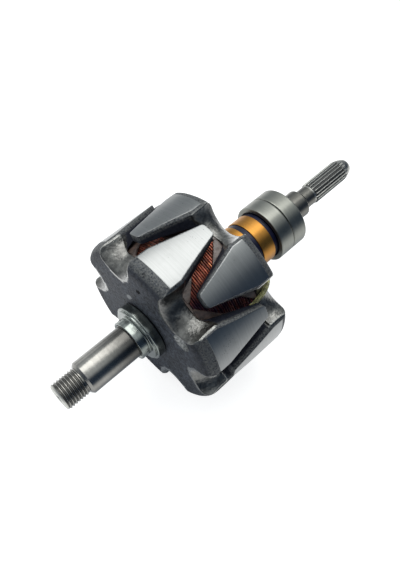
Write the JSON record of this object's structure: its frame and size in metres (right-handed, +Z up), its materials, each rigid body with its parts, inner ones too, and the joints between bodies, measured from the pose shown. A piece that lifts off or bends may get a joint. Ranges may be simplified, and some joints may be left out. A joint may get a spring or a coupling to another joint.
{
  "type": "alternator rotor",
  "caption": "Claw-pole alternator rotor with a field coil, slip rings, sealed rear bearings, a threaded drive end and a splined tail.",
  "frame": {"origin": "on the shaft axis, in the front face of the drive-end collar, where the drive-end bearing seats", "axes": "+X along the shaft towards the splined end, +Z up at rest"},
  "size_m": [0.1978, 0.089, 0.089],
  "materials": {
    "shaft_steel": "ground and turned",
    "pole_steel": "forged, varnished, with turned outer faces",
    "bobbin_nylon": "varnished nylon",
    "winding_copper": "enamelled copper wire",
    "plated_steel": "zinc plated",
    "hub_resin": "moulded resin",
    "slip_ring_alloy": "turned",
    "sleeve_plastic": "varnished fibre sleeve",
    "lead_copper": "tinned copper",
    "terminal_brass": "stamped",
    "bearing_steel": "ground",
    "seal_rubber": "moulded"
  },
  "bodies": {
    "rotor": {"shaft": "shaft_steel", "front_pole": "pole_steel", "rear_pole": "pole_steel", "bobbin": "bobbin_nylon", "field_coil": "winding_copper", "drive_end_collar": "plated_steel", "slip_ring_hub": "hub_resin", "slip_ring_inner": "slip_ring_alloy", "slip_ring_outer": "slip_ring_alloy", "lead_sleeve_a": "sleeve_plastic", "lead_sleeve_b": "sleeve_plastic", "lead_tail_a": "lead_copper", "lead_tail_b": "lead_copper", "terminal_a": "terminal_brass", "terminal_b": "terminal_brass", "bearing_a_inner_ring": "bearing_steel", "bearing_b_inner_ring": "bearing_steel"},
    "bearing_a_outer": {"bearing_a_outer_ring": "bearing_steel", "bearing_a_front_seal": "seal_rubber", "bearing_a_rear_seal": "seal_rubber"},
    "bearing_b_outer": {"bearing_b_outer_ring": "bearing_steel", "bearing_b_front_seal": "seal_rubber", "bearing_b_rear_seal": "seal_rubber"}
  },
  "joints": [
    {"name": "bearing_a_turn", "type": "hinge", "parent": "rotor", "child": "bearing_a_outer", "pos_m": [0.0928, 0, 0], "axis": [1, 0, 0], "continuous": true},
    {"name": "bearing_b_turn", "type": "hinge", "parent": "rotor", "child": "bearing_b_outer", "pos_m": [0.1018, 0, 0], "axis": [1, 0, 0], "continuous": true}
  ]
}
